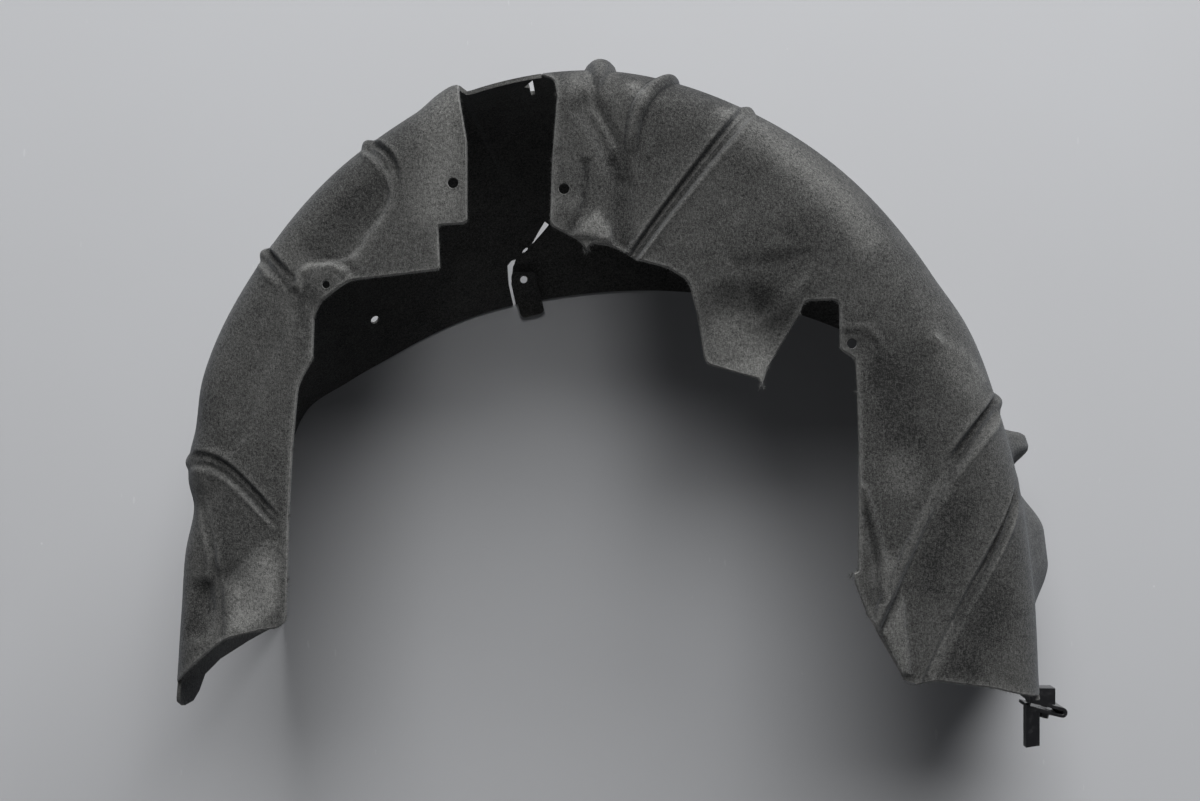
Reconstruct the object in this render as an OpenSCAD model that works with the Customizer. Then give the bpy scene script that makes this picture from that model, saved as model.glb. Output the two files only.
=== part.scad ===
// Rear wheel arch liner pressed from felt, lying on its fender edge with the inboard side wall on top.
// The origin is under the middle of the whole part, +Z points at the inboard side and +Y at the crown.

/* [Felt] */
// Thickness of the felt
felt = 3.5; // [2.5:0.1:5]
// Height of the side wall above the fender edge
depth = 255; // [235:1:275]
// How much the side wall sinks towards its inner edge, for each millimetre of width
wall_lean = 0.04; // [0:0.01:0.08]

/* [Arch] */
// Radius of the fold between the band and the side wall
arch_r = 375; // [360:1:390]
// Height of the arch centre above the plan origin line
arch_y = -70; // [-80:1:-60]
// Rounding of the fold on the left leg
fold_left = 34; // [28:1:40]
// Rounding of the fold at the crown
fold_crown = 42; // [34:1:50]
// Rounding of the fold on the right shoulder
fold_right = 66; // [54:1:74]

/* [Fender edge] */
// Radius of the fender edge at its crown
lip_r = 356; // [346:1:366]
// Sideways place of the fender edge's centre
lip_x = 55; // [45:1:65]
// Height of the fender edge's centre in plan
lip_y = -235; // [-245:1:-225]
// How strongly the band domes over at the crown
dome = 1.3; // [0.8:0.1:1.8]

/* [Ribs] */
// How far the pressed ribs stand out over the fold; on the wall they turn into grooves
rib_h = 6; // [4:0.5:8]
// Width of the pressed ribs at their foot
rib_w = 17; // [14:0.5:19]
// Height of the pocket pressed into the fold at the crown
pocket_h = 11; // [7:0.5:13]
// Width of that pocket at its foot
pocket_w = 30; // [24:0.5:34]
// Height of the two bulges on the right leg's band
bulge_h = 22; // [16:0.5:26]

/* [Fixing holes] */
// Diameter of the two screw holes beside the notch
screw_d = 9.5; // [7:0.1:11]
// Diameter of the hole in the left corner tab
tab_d = 6.8; // [5:0.1:8]
// Diameter of the hole in the right leg's tab
leg_d = 9; // [7:0.1:10]
// Diameter of the hole near the fender edge
band_d = 9.6; // [7:0.1:11]

/* [Slit] */
// Width of the slit in the band at its upper end
slit_w = 5; // [3:0.5:7]
// Width of the felt tab that laps over the slit
lap_w = 26; // [22:1:30]
// Length of that tab
lap_len = 52; // [46:1:58]
// Diameter of the clip hole in that tab
lap_d = 8; // [6:0.1:10]

/* [Corner bracket] */
// Wall of the moulded bracket
bracket_t = 3; // [2.5:0.1:4]
// Reach of its foot plate away from the leg
foot_l = 36; // [32:1:40]
// Depth of the foot plate
foot_w = 34; // [28:1:40]
// Length of its stem
stem_l = 36; // [30:1:42]
// Width of its stem
stem_w = 13; // [11:0.5:15]
// Diameter of the bolt hole in the foot plate
bolt_d = 6.5; // [5:0.1:8]
// Clearance between the bracket and the felt
seat_gap = 0.3; // [0.2:0.1:0.5]

/* [Hidden] */
eps = 0.01;
felt_color = [0.27, 0.27, 0.265];
plastic_color = [0.05, 0.05, 0.055];

// The fold's radius beyond arch_r at each plan angle
fold_keys = [[-38, 145], [-26, 80], [-15, 44], [-4, 21], [8, 5], [22, -2], [31, -9], [50, -8.5], [68, -6],
    [90, 2], [108, 2], [110.2, 11], [112.5, 10], [117, 2], [131, -2], [148, -3.5], [166, 3], [178, 4],
    [184, 0], [190, 13], [198, 31], [206, 59], [214, 100]];
// The fold's rounding at each plan angle
round_keys = [[-38, fold_left + 10], [0, (fold_left + fold_right) / 2], [25, fold_right - 4], [45, fold_right],
    [68, (fold_crown + fold_right) / 2], [90, fold_crown], [115, fold_left + 2], [150, fold_left],
    [214, fold_left - 4]];
// The fender edge's radius beyond lip_r at each angle about its own centre
lip_keys = [[-12, 54], [12, 59], [27, 69], [42, 48], [57, 20], [75, 4], [90, 0], [105, 6], [120, 24],
    [134, 44], [142, 63], [149, 83], [157, 76], [165, 61], [173, 49], [181, 44], [190, 44]];
// How far apart the columns of the band lie at the fender edge, against the fold
lip_ratio = 0.775;

centre = [0, arch_y];
lip_centre = [lip_x, lip_y];

function clamp(v, lo, hi) = min(max(v, lo), hi);
function smooth(t) = let (s = clamp(t, 0, 1)) s * s * (3 - 2 * s);
function unit(v) = v / norm(v);
function turn_left(v) = [-v[1], v[0]];
function polar(r, a) = [r * cos(a), r * sin(a)];

// Smooth curve through [position, value] keys
function span(keys, x, i) = i + 2 < len(keys) && x > keys[i + 1][0] ? span(keys, x, i + 1) : i;
function slope(keys, i) = let (lo = max(i - 1, 0), hi = min(i + 1, len(keys) - 1))
    (keys[hi][1] - keys[lo][1]) / (keys[hi][0] - keys[lo][0]);
function along(keys, at) =
    let (
        x = clamp(at, keys[0][0], keys[len(keys) - 1][0]),
        i = span(keys, x, 0),
        w = keys[i + 1][0] - keys[i][0],
        t = (x - keys[i][0]) / w,
        u = 1 - t
    )
    keys[i][1] * u * u * (1 + 2 * t) + keys[i + 1][1] * t * t * (3 - 2 * t)
        + w * t * u * (slope(keys, i) * u - slope(keys, i + 1) * t);

function fold_at(a) = arch_r + along(fold_keys, a);
// Plan point at an angle about the arch centre, a given way inside the fold
function plan(a, inset) = centre + polar(fold_at(a) - inset, a);
function plan_angle(p) = let (q = p - centre, a = atan2(q[1], q[0])) a < -90 ? a + 360 : a;

// Fixing places, each an angle and an inset from the fold
left_screw = plan(116.5, 79);
right_screw = plan(97.1, 113.5);
tab_hole = plan(144.8, 68.5);
leg_hole = plan(28, 108.5);

// Shallow pressed forms of the side wall
function pad(p, middle, radius, height) = height * smooth(1.5 - 1.5 * norm(p - middle) / radius);
function to_line(p, a, b) = let (ab = b - a, t = clamp((p - a) * ab / (ab * ab), 0, 1)) norm(p - a - t * ab);
function crease(p, a, b, half, height) = height * smooth(1 - to_line(p, a, b) / half);
valley_line = [plan(91.5, 38), plan(88.4, 74), plan(85.3, 113), plan(85.5, 164)];
valley_depth = -5;
valley_half = 15;

function relief(p, inset) =
    -wall_lean * inset
    + pad(p, tab_hole, 26, 4)
    + pad(p, leg_hole, 30, -2)
    + pad(p, plan(98, 145), 30, 3)
    + pad(p, plan(45, 182.5), 55, -9)
    + pad(p, plan(50, 102.5), 80, 5)
    + pad(p, plan(198, 48), 44, -4)
    + min([for (i = [0:2]) crease(p, valley_line[i], valley_line[i + 1], valley_half, valley_depth)])
    + crease(p, plan(196, 25.5), plan(180, 26), 24, -4)
    + crease(p, plan(24, 46.5), plan(15, 13.5), 14, 3);

// Height of the side wall and of the fold over a plan point
function wall_height(p) =
    let (
        a = plan_angle(p),
        inset = max(fold_at(a) - norm(p - centre), 0),
        r = along(round_keys, a),
        drop = inset < r ? r - sqrt(r * r - (r - inset) * (r - inset)) : 0
    )
    depth + relief(p, inset) * smooth(inset / r) - drop;

// Point of the band at a fold angle, from 0 at the fender edge to 1 under the fold
function lip_point(a) = let (f = 90 + (a - 90) * lip_ratio) lip_centre + polar(lip_r + along(lip_keys, f), f);
function band_top(a) = depth - along(round_keys, a);
function band_point(a, t) =
    let (
        bend = 1 + dome * pow(max(sin(a), 0), 1.5),
        share = 1 - pow(1 - t, bend),
        p = lip_point(a) * (1 - share) + plan(a, 0) * share
    )
    [p[0], p[1], t * band_top(a)];

// Lines that the side wall's columns follow, in order from the right leg to the left: fold angle, the places
// passed at one and two thirds as angle and inset, the inner end, the kind (0 plain, 1 rib, 2 pocket), how much
// of its width the rib keeps inside, its heights as [inset, share] keys, and the plain columns before. A rib
// whose keys start below inset 0 runs down the band too, and where its share is negative it is a groove
right_end = -26.6;
LINES = [
    [right_end, [-30, 64], [-33.5, 130], [-38, 186], 0, 1, [], 0],
    [-4.3, [-13.8, 63], [-25.9, 118], [-38.1, 178], 1, 1,
        [[0, 0], [8, 0], [22, -0.8], [70, -0.75], [110, -0.4], [160, 0]], 5],
    [10.5, [2.4, 70], [-11.9, 127], [-32.7, 203], 1, 1,
        [[-2, 1], [0, 1], [8, 0.5], [18, -0.75], [75, -0.7], [105, 0.4], [140, 0.8], [200, 0.8]], 4],
    [18, [13, 55], [7, 112], [-0.5, 167], 0, 1, [], 1],
    [26, [23, 50], [18, 102], [13, 150], 0, 1, [], 1],
    [34, [31, 62], [28, 122], [24, 176], 0, 1, [], 1],
    [42, [39, 75], [34, 148], [27, 216], 0, 1, [], 1],
    [50, [48.5, 76], [46, 154], [41, 232], 0, 1, [], 1],
    [58, [59, 64], [60, 130], [61.5, 196], 0, 1, [], 1],
    [67.8, [71.1, 60], [75.8, 120], [82.2, 177], 1, 0.8,
        [[-2, 0.85], [0, 0.85], [12, 0.35], [24, -0.7], [100, -0.7], [200, -0.85]], 1],
    [79.8, [84.6, 56], [83.8, 117], [86.6, 177], 1, 0.35,
        [[-2, 1], [0, 1], [10, 0.5], [20, -0.75], [50, -0.7], [74, -0.2], [90, 0]], 1],
    [89.9, [89.2, 57], [86.6, 114], [89.6, 177], 2, 0.2, [[-2, 1], [0, 1], [12, 0.8], [36, 0.15], [50, 0]], 0],
    [96.5, [98, 57], [99.5, 114], [101.5, 172], 0, 1, [], 0],
    [108.6, [110, 57], [112.5, 114], [119, 172], 0, 1, [], 1],
    [110.2, [112.4, 57], [115.4, 114], [122.4, 172], 0, 1, [], 0],
    [125.1, [124.7, 46], [130.8, 75], [139, 107], 1, 1,
        [[-2, 1], [0, 1], [8, 0.5], [15, -0.7], [44, -0.7], [70, -0.2], [88, 0]], 2],
    [146.5, [147.6, 34], [149.2, 64], [151.2, 97], 1, 1,
        [[-2, 1], [0, 1], [7, 0.5], [14, -0.75], [38, -0.75], [56, -0.2], [66, 0]], 3],
    [178, [178.2, 35], [183.2, 63], [191.6, 110], 1, 1,
        [[-2, 1], [0, 1], [7, 0.5], [14, -0.75], [60, -0.85], [110, -1]], 5],
    [212, [213, 40], [214.5, 82], [216.5, 125], 0, 1, [], 6]
];
RIB_SECTION = [[-1, 0], [-0.55, 0.62], [0, 1], [0.55, 0.62], [1, 0]];

function rib_half(line) = (line[4] == 2 ? pocket_w : rib_w) / 2;
function rib_top(line) = line[4] == 2 ? pocket_h : rib_h;

// A column holds its fold angle, the three plan points it passes, its rib's height and the keys of its shares
function column_of(line, share, height) =
    let (
        a = line[0] + share * rib_half(line) / fold_at(line[0]) * 180 / PI,
        move = plan(a, 0) - plan(line[0], 0)
    )
    [a, [for (i = [1:3]) plan(line[i][0], line[i][1]) + move * (1 - (1 - line[5]) * i / 3)],
        height * rib_top(line), line[6]];
function station(line) = line[4] == 0 ? [column_of(line, 0, 0)] : [for (s = RIB_SECTION) column_of(line, s[0], s[1])];
function blend_columns(from, to, t) = [
    from[0] * (1 - t) + to[0] * t,
    from[1] * (1 - t) + to[1] * t,
    0,
    []
];
COLUMNS = [
    for (i = [0:len(LINES) - 1])
        let (own = station(LINES[i]), fills = LINES[i][7])
            each concat(
                i == 0 ? [] : let (last = station(LINES[i - 1]))
                    [for (k = [1:1:fills]) blend_columns(last[len(last) - 1], own[0], k / (fills + 1))],
                own)
];

BAND_ROWS = 9;
FOLD_ROWS = 5;
WALL_ROWS = 13;
ROWS = BAND_ROWS + FOLD_ROWS + WALL_ROWS;

// Plan point of a column, from 0 at the fold to 1 at its inner end, on the curve through its four points
function column_path(col, v) =
    let (q = 3 * v)
    plan(col[0], 0) * (1 - q) * (2 - q) * (3 - q) / 6
        + col[1][0] * q * (2 - q) * (3 - q) / 2
        + col[1][1] * q * (q - 1) * (3 - q) / 2
        + col[1][2] * q * (q - 1) * (q - 2) / 6;

// Way along a column at which the fold has turned through beta
function fold_share(col, beta) =
    let (
        step = 0.01,
        pace = (plan(col[0], 0) - column_path(col, step)) * polar(1, col[0]) / step
    )
    along(round_keys, col[0]) * (1 - cos(beta)) / pace;

function on_wall(p) = [p[0], p[1], wall_height(p)];
function base_point(col, row) =
    row < BAND_ROWS
        ? band_point(col[0], row / BAND_ROWS)
        : row < BAND_ROWS + FOLD_ROWS
            ? on_wall(column_path(col, fold_share(col, 90 * (row - BAND_ROWS) / FOLD_ROWS)))
            : let (
                start = fold_share(col, 90),
                t = (row - BAND_ROWS - FOLD_ROWS) / WALL_ROWS
            )
            on_wall(column_path(col, start + (1 - start) * t));

// Share of a rib's height at a row of its column
function rib_share(col, row, point) =
    col[2] == 0 ? 0
        : row < BAND_ROWS
            ? (col[3][0][0] < 0 ? col[3][0][1] * smooth((row / BAND_ROWS - 0.25) / 0.5) : 0)
            : let (p = [point[0], point[1]])
            along(col[3], fold_at(plan_angle(p)) - norm(p - centre));

// Two bulges on the right leg's band, each an angle, a height share, half sizes along and across
BULGES = [[-10.5, 0.6, 9.5, 0.36, 0.82], [5.2, 0.62, 3.4, 0.3, 1]];
function bulge(col, row) =
    let (t = row / BAND_ROWS)
    row > BAND_ROWS ? 0 : bulge_h * max([for (b = BULGES)
        b[4] * smooth(1.3 - 1.3 * abs(col[0] - b[0]) / b[2]) * smooth(1.3 - 1.3 * abs(t - b[1]) / b[3])]);

last_col = len(COLUMNS) - 1;
last_row = ROWS;
BASE = [for (c = COLUMNS) [for (r = [0:last_row]) base_point(c, r)]];

// Outward normals of a grid of points
function normal_at(grid, c, r) =
    let (
        c0 = grid[max(c - 1, 0)][r],
        c1 = grid[min(c + 1, last_col)][r],
        r0 = grid[c][max(r - 1, 0)],
        r1 = grid[c][min(r + 1, last_row)]
    )
    unit(cross(c1 - c0, r1 - r0));

OUTER = [for (c = [0:last_col]) [for (r = [0:last_row])
    let (
        lift = COLUMNS[c][2] * rib_share(COLUMNS[c], r, BASE[c][r]) + bulge(COLUMNS[c], r),
        p = BASE[c][r] + lift * normal_at(BASE, c, r)
    )
    r == 0 ? [p[0], p[1], 0] : p]];
INNER = [for (c = [0:last_col]) [for (r = [0:last_row])
    let (p = OUTER[c][r] - felt * normal_at(OUTER, c, r))
    r == 0 ? [p[0], p[1], 0] : p]];

// The shell's height over its ribs
shell_h = max([for (c = OUTER) for (p = c) p[2]]);

per_side = (last_col + 1) * (last_row + 1);
function outer_id(c, r) = c * (last_row + 1) + r;
function inner_id(c, r) = per_side + outer_id(c, r);
function quad(a, b, c, d) = [[a, b, c], [a, c, d]];

SHELL_POINTS = concat([for (c = OUTER) each c], [for (c = INNER) each c]);
SHELL_FACES = concat(
    [for (c = [0:last_col - 1]) for (r = [0:last_row - 1])
        each quad(outer_id(c, r), outer_id(c, r + 1), outer_id(c + 1, r + 1), outer_id(c + 1, r))],
    [for (c = [0:last_col - 1]) for (r = [0:last_row - 1])
        each quad(inner_id(c, r), inner_id(c + 1, r), inner_id(c + 1, r + 1), inner_id(c, r + 1))],
    [for (c = [0:last_col - 1])
        each quad(outer_id(c, 0), outer_id(c + 1, 0), inner_id(c + 1, 0), inner_id(c, 0))],
    [for (c = [0:last_col - 1]) each quad(
        outer_id(c, last_row), inner_id(c, last_row), inner_id(c + 1, last_row), outer_id(c + 1, last_row))],
    [for (r = [0:last_row - 1])
        each quad(outer_id(0, r), inner_id(0, r), inner_id(0, r + 1), outer_id(0, r + 1))],
    [for (r = [0:last_row - 1]) each quad(
        outer_id(last_col, r), outer_id(last_col, r + 1), inner_id(last_col, r + 1), inner_id(last_col, r))]
);

// Outline of what is cut out of the side wall: angle, inset and corner radius, from the left leg's toe over
// the notch for the shock absorber and the pointed tongue to the right leg's toe
CUT_LINE = [
    [207, -30, 0], [205.8, 4, 0], [204.6, 25.5, 30], [203.2, 53, 40], [204.2, 89.5, 30], [205.4, 116, 20],
    [198, 108, 40], [187, 96, 60], [174.7, 97, 60], [163, 91, 40], [157.6, 93, 12], [150.5, 74.5, 10],
    [147.8, 73, 4], [141.8, 82.5, 14], [127.6, 135.5, 5], [122.7, 102.5, 3], [117.6, 116.5, 5], [111.6, 59, 0],
    [109.2, -30, 0], [95.8, -30, 0], [96.4, 29, 20], [98.6, 86.5, 60], [101.2, 144, 8], [95, 161.5, 6],
    [93.4, 170, 0], [92, 164.5, 3], [86.5, 165.5, 20], [80.4, 173, 30], [72, 170, 30], [65.8, 172.5, 14],
    [58, 197.5, 40], [47.1, 224.5, 9], [31.8, 195.5, 0], [29.2, 198, 0], [33, 183.5, 10], [39.4, 131, 8],
    [40.8, 120.5, 6], [36.6, 95, 6], [28, 120.5, 6], [24.9, 114.5, 8], [18.4, 128.5, 30], [5.5, 146, 60],
    [-19.8, 182.5, 2], [-21, 194, 0], [-27.2, 187, 30], [-34.2, 160, 10], [-31.2, 125, 30], [-28.2, 62, 40],
    [-26.6, 8, 0], [-26, -30, 0]
];
corner_steps = 5;
function cut_point(i) = plan(CUT_LINE[i][0], CUT_LINE[i][1]);
// Points of an arc that rounds the corner at b between a and c
function corner(a, b, c, r) =
    let (
        u = unit(a - b),
        v = unit(c - b),
        half = acos(clamp(u * v, -1, 1)) / 2,
        reach = min(r / tan(half), 0.45 * norm(a - b), 0.45 * norm(c - b)),
        radius = reach * tan(half),
        o = b + unit(u + v) * radius / sin(half),
        from = b + u * reach - o,
        sweep = 180 - 2 * half,
        sign = cross([u[0], u[1], 0], [v[0], v[1], 0])[2] > 0 ? -1 : 1
    )
    [for (k = [0:corner_steps]) let (t = sign * sweep * k / corner_steps)
        o + [from[0] * cos(t) - from[1] * sin(t), from[0] * sin(t) + from[1] * cos(t)]];
CUT_END = len(CUT_LINE) - 1;
below_toes = arch_r + 120;
CUT_POINTS = concat(
    [cut_point(0)],
    [for (i = [1:CUT_END - 1]) each CUT_LINE[i][2] == 0 ? [cut_point(i)]
        : corner(cut_point(i - 1), cut_point(i), cut_point(i + 1), CUT_LINE[i][2])],
    [cut_point(CUT_END), [cut_point(CUT_END)[0], -below_toes], [cut_point(0)[0], -below_toes]]
);
cut_floor = depth - 27;
cut_h = 60;

// Outline of the left leg's end, seen from the side: place along the leg and height above the fender edge.
// A small rounded tab stands out of it just under the fold
TOE_LINE = [[-239, -2], [-246, 90], [-253, 150], [-262, 180], [-276, 190], [-283, 200], [-284, 216],
    [-278, 226], [-266, 232]];
toe_reach = 120;

// The slit in the band, from the fender edge up to its wide end, and the felt tab that laps over it
SLIT_LINE = [[-56, 187], [-84, 157], [-97, 143], [-90, 90]];
SLIT_SHARES = [1, 0.2, 1, 0.6];
slit_h = 70;
lap_hole = [-82, 130];
lap_turn = 14;
lap_corner = 5;
lap_lift = 0.4;

// The clip slot high in the band beside the notch, an arrow with its stem down
slot_a = 100;
slot_z = 176;
slot_w = 11;
slot_stem = 4;
slot_h = 38;

// The hole near the fender edge, an angle and a share of the band's height
band_hole_at = [144.2, 0.21];

// Outward normal of the band
function band_normal(a, t) = unit(cross(
    band_point(a + 0.5, t) - band_point(a - 0.5, t),
    band_point(a, t + 0.02) - band_point(a, t - 0.02)));

// Puts children on the band with their x axis along its outward normal
module on_band(a, t) {
    n = band_normal(a, t);
    translate(band_point(a, t))
        rotate([0, -asin(n[2]), atan2(n[1], n[0])])
            children();
}

module side_wall_cut() {
    translate([0, 0, cut_floor])
        linear_extrude(cut_h)
            polygon(CUT_POINTS);
}

// Trims the left leg to its outline
module toe_cut() {
    below = TOE_LINE[0][1];
    top = TOE_LINE[len(TOE_LINE) - 1][0];
    translate([-arch_r - toe_reach, 0, 0])
        rotate([90, 0, 90])
            linear_extrude(2 * toe_reach)
                polygon(concat(TOE_LINE, [[top, shell_h], [-below_toes, shell_h], [-below_toes, below]]));
}

module slit_cut() {
    last = len(SLIT_LINE) - 1;
    sides = [for (i = [0:last])
        let (way = SLIT_LINE[min(i + 1, last)] - SLIT_LINE[max(i - 1, 0)])
        turn_left(unit(way)) * slit_w / 2 * SLIT_SHARES[i]];
    linear_extrude(slit_h)
        polygon([for (i = [0:last]) SLIT_LINE[i] + sides[i], for (i = [last:-1:0]) SLIT_LINE[i] - sides[i]]);
}

module clip_slot() {
    translate([0, arch_y, slot_z])
        rotate([90, 0, slot_a + 90])
            linear_extrude(arch_r + toe_reach)
                polygon([[-slot_stem / 2, 0], [slot_stem / 2, 0], [slot_stem / 2, slot_h * 0.4],
                    [slot_w / 2, slot_h * 0.5], [0, slot_h], [-slot_w / 2, slot_h * 0.5],
                    [-slot_stem / 2, slot_h * 0.4]]);
}

// Outline of the tab on the plan, round about its clip hole and turned a little
module lap_outline() {
    translate(lap_hole)
        rotate(lap_turn)
            hull() {
                circle(lap_w / 2, $fn = 32);
                for (side = [-1, 1])
                    translate([side * (lap_w / 2 - lap_corner), lap_w / 2 + lap_corner - lap_len])
                        circle(lap_corner, $fn = 16);
            }
}

// The tab lies on the band's inner face and runs level past the fender edge
lap_angle = plan_angle(lap_hole) + 6;
function lap_y(t) = band_point(lap_angle, t)[1];
module lap_tab() {
    share = [0.005, 0.03, 0.06, 0.1];
    under = [for (t = share) [lap_y(t), t * band_top(lap_angle) + felt * 0.8]];
    tip = lap_hole[1] - 1.2 * lap_len;
    over = [for (i = [len(share) - 1:-1:0]) under[i] + [-felt * 0.5, felt]];
    intersection() {
        translate([lap_hole[0] - lap_len, 0, 0])
            rotate([90, 0, 90])
                linear_extrude(2 * lap_len)
                    polygon(concat([[tip, lap_lift], [lap_y(0), lap_lift]], under, over, [[tip, lap_lift + felt]]));
        linear_extrude(slit_h)
            lap_outline();
    }
}

module wall_hole(at, d) {
    translate([at[0], at[1], cut_floor])
        cylinder(d = d, h = cut_h, $fn = 48);
}

module felt_shell() {
    color(felt_color)
        difference() {
            resize([0, 0, shell_h])
                difference() {
                    union() {
                        difference() {
                            polyhedron(SHELL_POINTS, SHELL_FACES, convexity = 12);
                            slit_cut();
                        }
                        lap_tab();
                    }
                    side_wall_cut();
                    toe_cut();
                    clip_slot();
                }
            wall_hole(left_screw, screw_d);
            wall_hole(right_screw, screw_d);
            wall_hole(tab_hole, tab_d);
            wall_hole(leg_hole, leg_d);
            translate([lap_hole[0], lap_hole[1], -eps])
                cylinder(d = lap_d, h = slit_h, $fn = 48);
            on_band(band_hole_at[0], band_hole_at[1])
                rotate([0, 90, 0])
                    cylinder(d = band_d, h = 8 * felt, center = true, $fn = 48);
        }
}

// The bracket hooks round the end of the right leg. Its tongue lies on the felt's inner face, and outside the
// end a bar carries a folded foot with a bolt hole, a nut boss and a stem
seat_a = right_end + 1.3;
seat_t = 0.84;
tongue_l = 34;
tongue_h = 40;
// How much the felt curves towards the straight tongue over half its length
tongue_sag = 0.5;
end_point = band_point(right_end, seat_t);
end_gap = 4;
bar_w = 24;
bar_t = 14;
bar_h = 15;
foot_slot = 3.5;
foot_h = 2 * bracket_t + foot_slot;
foot_turn = -14;
foot_place = end_point + [-10, -end_gap - bar_t - foot_slot / 2, -foot_w / 2];
bolt_x = 0.6 * foot_l;
bolt_z = 9.5;
boss_d = 2 * bolt_d;
boss_h = 7;
stem_t = 9;
stem_slant = 2;
stem_end = foot_place[1] - foot_h / 2 - stem_l;

// Half outline of the folded foot, which is open at its left end and round at its right end
module foot_profile(r) {
    tip = foot_l - foot_h / 2;
    translate([r < foot_h / 2 ? -eps : 0, -r])
        square([tip, 2 * r]);
    translate([tip, 0])
        circle(r, $fn = 48);
}

module tongue() {
    on_band(seat_a, seat_t)
        translate([-felt - seat_gap - tongue_sag - bracket_t, -tongue_l / 2, -tongue_h / 2])
            cube([bracket_t, tongue_l, tongue_h]);
}

module bar() {
    translate([end_point[0] - felt - bracket_t - 4, foot_place[1], foot_place[2] + foot_w - bar_h])
        cube([bar_w, bar_t + foot_slot / 2, bar_h]);
}

module stem() {
    translate([foot_place[0] - stem_w / 3, stem_end, foot_place[2] + foot_w - stem_t])
        linear_extrude(stem_t)
            polygon([[0, 0], [stem_w, stem_slant], [stem_w, stem_l + foot_h / 2], [0, stem_l + foot_h / 2]]);
}

// Puts children on the bolt's axis, which crosses the foot at right angles
module on_bolt() {
    translate(foot_place)
        rotate([0, 0, foot_turn])
            translate([bolt_x, 0, bolt_z])
                rotate([90, 0, 0])
                    children();
}

module corner_bracket() {
    color(plastic_color)
        difference() {
            union() {
                difference() {
                    union() {
                        bar();
                        stem();
                        translate(foot_place)
                            rotate([0, 0, foot_turn])
                                linear_extrude(foot_w)
                                    foot_profile(foot_h / 2);
                    }
                    translate(foot_place - [0, 0, 1])
                        rotate([0, 0, foot_turn])
                            linear_extrude(foot_w + 2)
                                foot_profile(foot_slot / 2);
                }
                tongue();
                on_bolt()
                    translate([0, 0, foot_h / 2 - eps])
                        cylinder(d = boss_d, h = boss_h, $fn = 48);
            }
            on_bolt()
                cylinder(d = bolt_d, h = 2 * (foot_h + boss_h), center = true, $fn = 48);
        }
}

// The part is moved so that its origin lies under its middle: half way between the two legs' outermost places
// on the plan, and between the crown and the end of the stem
toe_tip = TOE_LINE[6][0];
left_x = min([for (c = OUTER) for (p = c) if (p[1] > toe_tip) p[0]]);
right_x = max([for (c = OUTER) for (p = c) p[0]]);
top_y = max([for (c = OUTER) for (p = c) p[1]]);
middle = [(left_x + right_x) / 2, (top_y + stem_end) / 2, 0];

translate(-middle) felt_shell();
translate(-middle) corner_bracket();
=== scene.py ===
# %% [markdown]
# # A felt wheel arch liner, seen from above
# The real object is one sheet of grey needled felt, pressed hot into a horseshoe that lines the space of a
# car's rear wheel. A small bracket of black plastic hooks round the end of its right leg. The part's solids
# come from the imported model, and this file adds what they can't show: soft pressed forms, frayed cut edges
# and the look of felt. First the imported model is loaded.

# %% Load the imported part
import random

import bpy
import numpy as np
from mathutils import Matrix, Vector, kdtree


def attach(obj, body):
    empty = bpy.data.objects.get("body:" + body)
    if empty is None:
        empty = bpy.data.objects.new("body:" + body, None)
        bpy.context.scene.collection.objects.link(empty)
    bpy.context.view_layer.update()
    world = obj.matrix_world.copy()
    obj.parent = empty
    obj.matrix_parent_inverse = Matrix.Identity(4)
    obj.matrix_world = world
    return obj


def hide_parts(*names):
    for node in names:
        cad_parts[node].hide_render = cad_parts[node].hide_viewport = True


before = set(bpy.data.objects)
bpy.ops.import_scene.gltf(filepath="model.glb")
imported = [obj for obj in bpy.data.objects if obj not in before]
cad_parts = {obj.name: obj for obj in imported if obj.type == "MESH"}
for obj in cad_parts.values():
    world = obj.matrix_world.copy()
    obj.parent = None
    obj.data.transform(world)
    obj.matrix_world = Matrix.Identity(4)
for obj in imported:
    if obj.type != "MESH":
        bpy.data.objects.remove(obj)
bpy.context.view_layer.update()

# %% [markdown]
# The sheet is worked out in millimetres on the plan, as in the part's source: the fold between the outer
# band and the side wall is a curve about the arch's centre, and every place on the wall is an angle and an
# inset from that curve. Smooth curves through a few keys keep the shape easy to change.

# %% Sizes on the plan, in millimetres
MM = 0.001
MIDDLE = np.array([38.0464, -5.74829, 0.0])
FELT = 3.5
DEPTH = 255.0
WALL_LEAN = 0.04
ARCH_R = 375.0
CENTRE = np.array([0.0, -70.0])
LIP_R = 356.0
LIP_CENTRE = np.array([55.0, -235.0])
LIP_RATIO = 0.775
DOME = 1.3
RIB_W = 17.0
POCKET_W = 30.0
BULGE_H = 22.0
FOLD_LEFT, FOLD_CROWN, FOLD_RIGHT = 34.0, 42.0, 66.0

FOLD_KEYS = [(-38, 145), (-26, 80), (-15, 44), (-4, 21), (8, 5), (22, -2), (31, -9), (50, -8.5), (68, -6),
             (90, 2), (108.6, 2), (109.0, 2.2), (110.0, 11), (112.5, 10), (117, 2), (131, -2), (148, -3.5),
             (166, 3), (173, 1), (177, 4.5), (180.5, 5), (184.5, 1), (190, 13), (198, 31), (206, 59),
             (214, 100)]
ROUND_KEYS = [(-38, FOLD_LEFT + 10), (0, (FOLD_LEFT + FOLD_RIGHT) / 2), (25, FOLD_RIGHT - 4),
              (45, FOLD_RIGHT), (68, (FOLD_CROWN + FOLD_RIGHT) / 2), (90, FOLD_CROWN),
              (115, FOLD_LEFT + 2), (150, FOLD_LEFT), (214, FOLD_LEFT - 4)]
LIP_KEYS = [(-12, 54), (12, 59), (27, 69), (42, 48), (57, 20), (75, 4), (90, 0), (105, 6), (120, 24),
            (134, 44), (142, 63), (149, 83), (157, 76), (165, 61), (173, 49), (181, 44), (190, 44)]


def smooth(t):
    s = np.clip(t, 0.0, 1.0)
    return s * s * (3 - 2 * s)


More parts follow.
